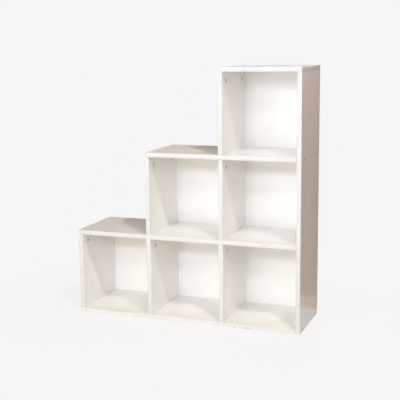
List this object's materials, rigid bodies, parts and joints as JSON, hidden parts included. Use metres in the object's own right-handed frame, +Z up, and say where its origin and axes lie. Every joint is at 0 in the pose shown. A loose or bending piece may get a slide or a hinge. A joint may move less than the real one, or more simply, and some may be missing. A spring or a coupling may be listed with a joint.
{
  "type": "staircase bookshelf",
  "caption": "White free-standing shelf of open cubes whose columns rise in steps from left to right, with closed backs.",
  "frame": {"origin": "on the floor, under the middle of the overall box", "axes": "+Z up; the open front faces -Y; the steps rise towards +X, which is to the right of someone who faces the front"},
  "size_m": [0.948, 0.2954, 1.02],
  "materials": {
    "coated_board": "particle board with smooth white foil, slight gloss",
    "hardboard": "thin hardboard, white in front and raw brown behind",
    "cam_zinc": "die-cast zinc, dull grey",
    "bolt_steel": "zinc-plated steel",
    "screw_steel": "zinc-plated steel"
  },
  "bodies": {
    "root": {"back_panel_1": "hardboard", "back_panel_2": "hardboard", "back_panel_3": "hardboard", "bolt_left_side_front": "bolt_steel", "bolt_left_side_rear": "bolt_steel", "bolt_right_side_front": "bolt_steel", "bolt_right_side_rear": "bolt_steel", "bolt_wall_2_level_1_front": "bolt_steel", "bolt_wall_2_level_1_rear": "bolt_steel", "bolt_wall_2_level_2_front": "bolt_steel", "bolt_wall_2_level_2_rear": "bolt_steel", "bolt_wall_3_level_1_front": "bolt_steel", "bolt_wall_3_level_1_rear": "bolt_steel", "bolt_wall_3_level_2_front": "bolt_steel", "bolt_wall_3_level_2_rear": "bolt_steel", "bolt_wall_3_level_3_front": "bolt_steel", "bolt_wall_3_level_3_rear": "bolt_steel", "bottom_board": "coated_board", "cam_left_side_front": "cam_zinc", "cam_left_side_rear": "cam_zinc", "cam_right_side_front": "cam_zinc", "cam_right_side_rear": "cam_zinc", "cam_wall_2_level_1_front": "cam_zinc", "cam_wall_2_level_1_rear": "cam_zinc", "cam_wall_2_level_2_front": "cam_zinc", "cam_wall_2_level_2_rear": "cam_zinc", "cam_wall_3_level_1_front": "cam_zinc", "cam_wall_3_level_1_rear": "cam_zinc", "cam_wall_3_level_2_front": "cam_zinc", "cam_wall_3_level_2_rear": "cam_zinc", "cam_wall_3_level_3_front": "cam_zinc", "cam_wall_3_level_3_rear": "cam_zinc", "foot_screw_left_side_front": "screw_steel", "foot_screw_left_side_rear": "screw_steel", "foot_screw_wall_2_level_1_front": "screw_steel", "foot_screw_wall_2_level_1_rear": "screw_steel", "foot_screw_wall_2_level_2_front": "screw_steel", "foot_screw_wall_2_level_2_rear": "screw_steel", "foot_screw_wall_3_level_1_front": "screw_steel", "foot_screw_wall_3_level_1_rear": "screw_steel", "foot_screw_wall_3_level_2_front": "screw_steel", "foot_screw_wall_3_level_2_rear": "screw_steel", "foot_screw_wall_3_level_3_front": "screw_steel", "foot_screw_wall_3_level_3_rear": "screw_steel", "left_side": "coated_board", "right_side": "coated_board", "side_screw_level_0_front": "screw_steel", "side_screw_level_0_rear": "screw_steel", "side_screw_level_1_front": "screw_steel", "side_screw_level_1_rear": "screw_steel", "side_screw_level_2_front": "screw_steel", "side_screw_level_2_rear": "screw_steel", "step_board_1": "coated_board", "step_board_2": "coated_board", "top_board": "coated_board", "wall_2_level_1": "coated_board", "wall_2_level_2": "coated_board", "wall_3_level_1": "coated_board", "wall_3_level_2": "coated_board", "wall_3_level_3": "coated_board"}
  },
  "joints": []
}
